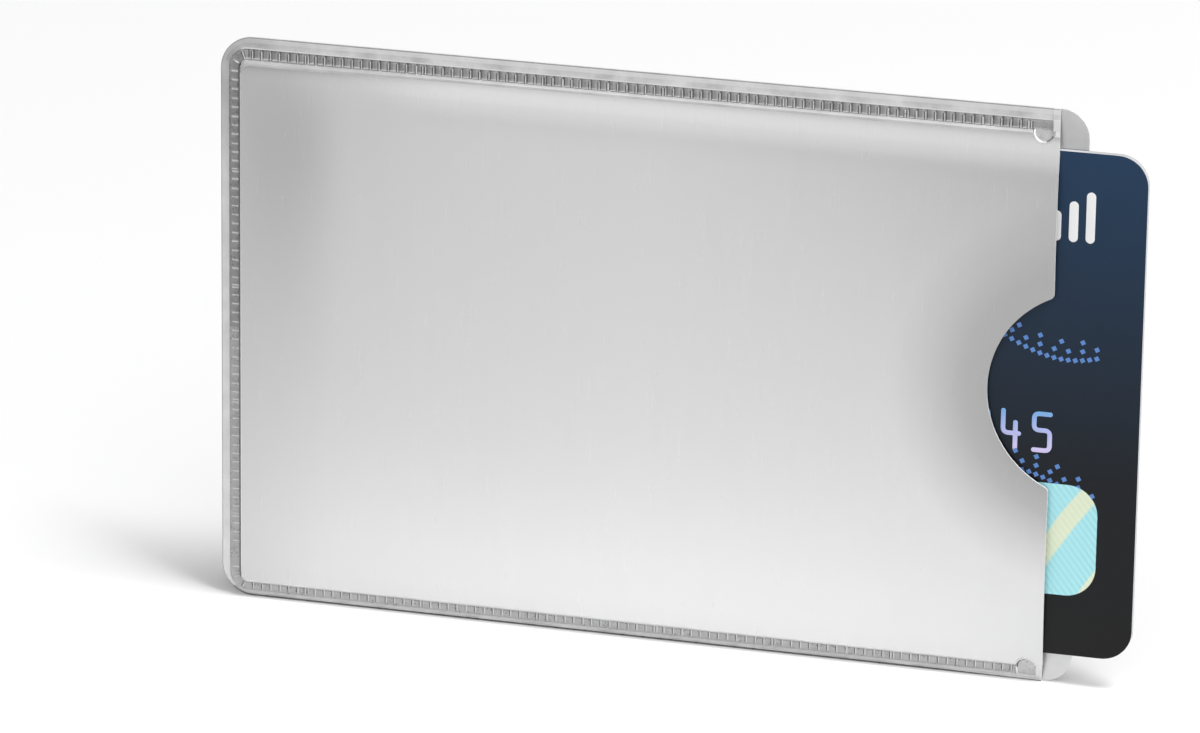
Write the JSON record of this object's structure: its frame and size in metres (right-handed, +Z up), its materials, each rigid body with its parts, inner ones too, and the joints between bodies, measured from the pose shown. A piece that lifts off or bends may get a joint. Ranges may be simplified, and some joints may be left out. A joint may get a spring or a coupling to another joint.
{
  "type": "rfid card sleeve",
  "caption": "Flat foil-lined sleeve with a ladder-welded edge and a thumb notch at its open end, holding a contactless card drawn part way out.",
  "frame": {"origin": "on the sleeve's flat rear face, at the middle of its length and height", "axes": "+X along the sleeve towards its open mouth, the way the card draws out; +Z up, as it stands in the picture; the notched front faces -Y"},
  "size_m": [0.0983, 0.0014, 0.0616],
  "materials": {
    "film": "brushed silver film",
    "foil": "bright rolled foil",
    "liner": "matte light grey film",
    "weld": "pressed grey film",
    "card_print": "printed laminate, navy fading to black",
    "card_core": "white core sheet",
    "card_back": "printed laminate",
    "stripe": "magnetic coating",
    "copper": "bare copper",
    "contacts": "gold plated contacts",
    "patch": "stamped iridescent foil"
  },
  "bodies": {
    "sleeve": {"back_cover_film": "film", "back_shield_foil": "foil", "back_liner_film": "liner", "front_liner_film": "liner", "front_shield_foil": "foil", "front_cover_film": "film", "weld_seam_top": "weld", "weld_seam_end": "weld", "weld_seam_bottom": "weld", "spot_weld_top": "weld", "spot_weld_bottom": "weld"},
    "card": {"card_back_overlay": "card_back", "card_magnetic_stripe": "stripe", "card_inlay": "card_core", "card_antenna": "copper", "card_chip_module": "contacts", "card_front_overlay": "card_print", "card_security_patch": "patch"}
  },
  "joints": [
    {"name": "card_slide", "type": "slide", "parent": "sleeve", "child": "card", "axis": [1, 0, 0], "range_m": [-0.00975, 0.08]}
  ]
}
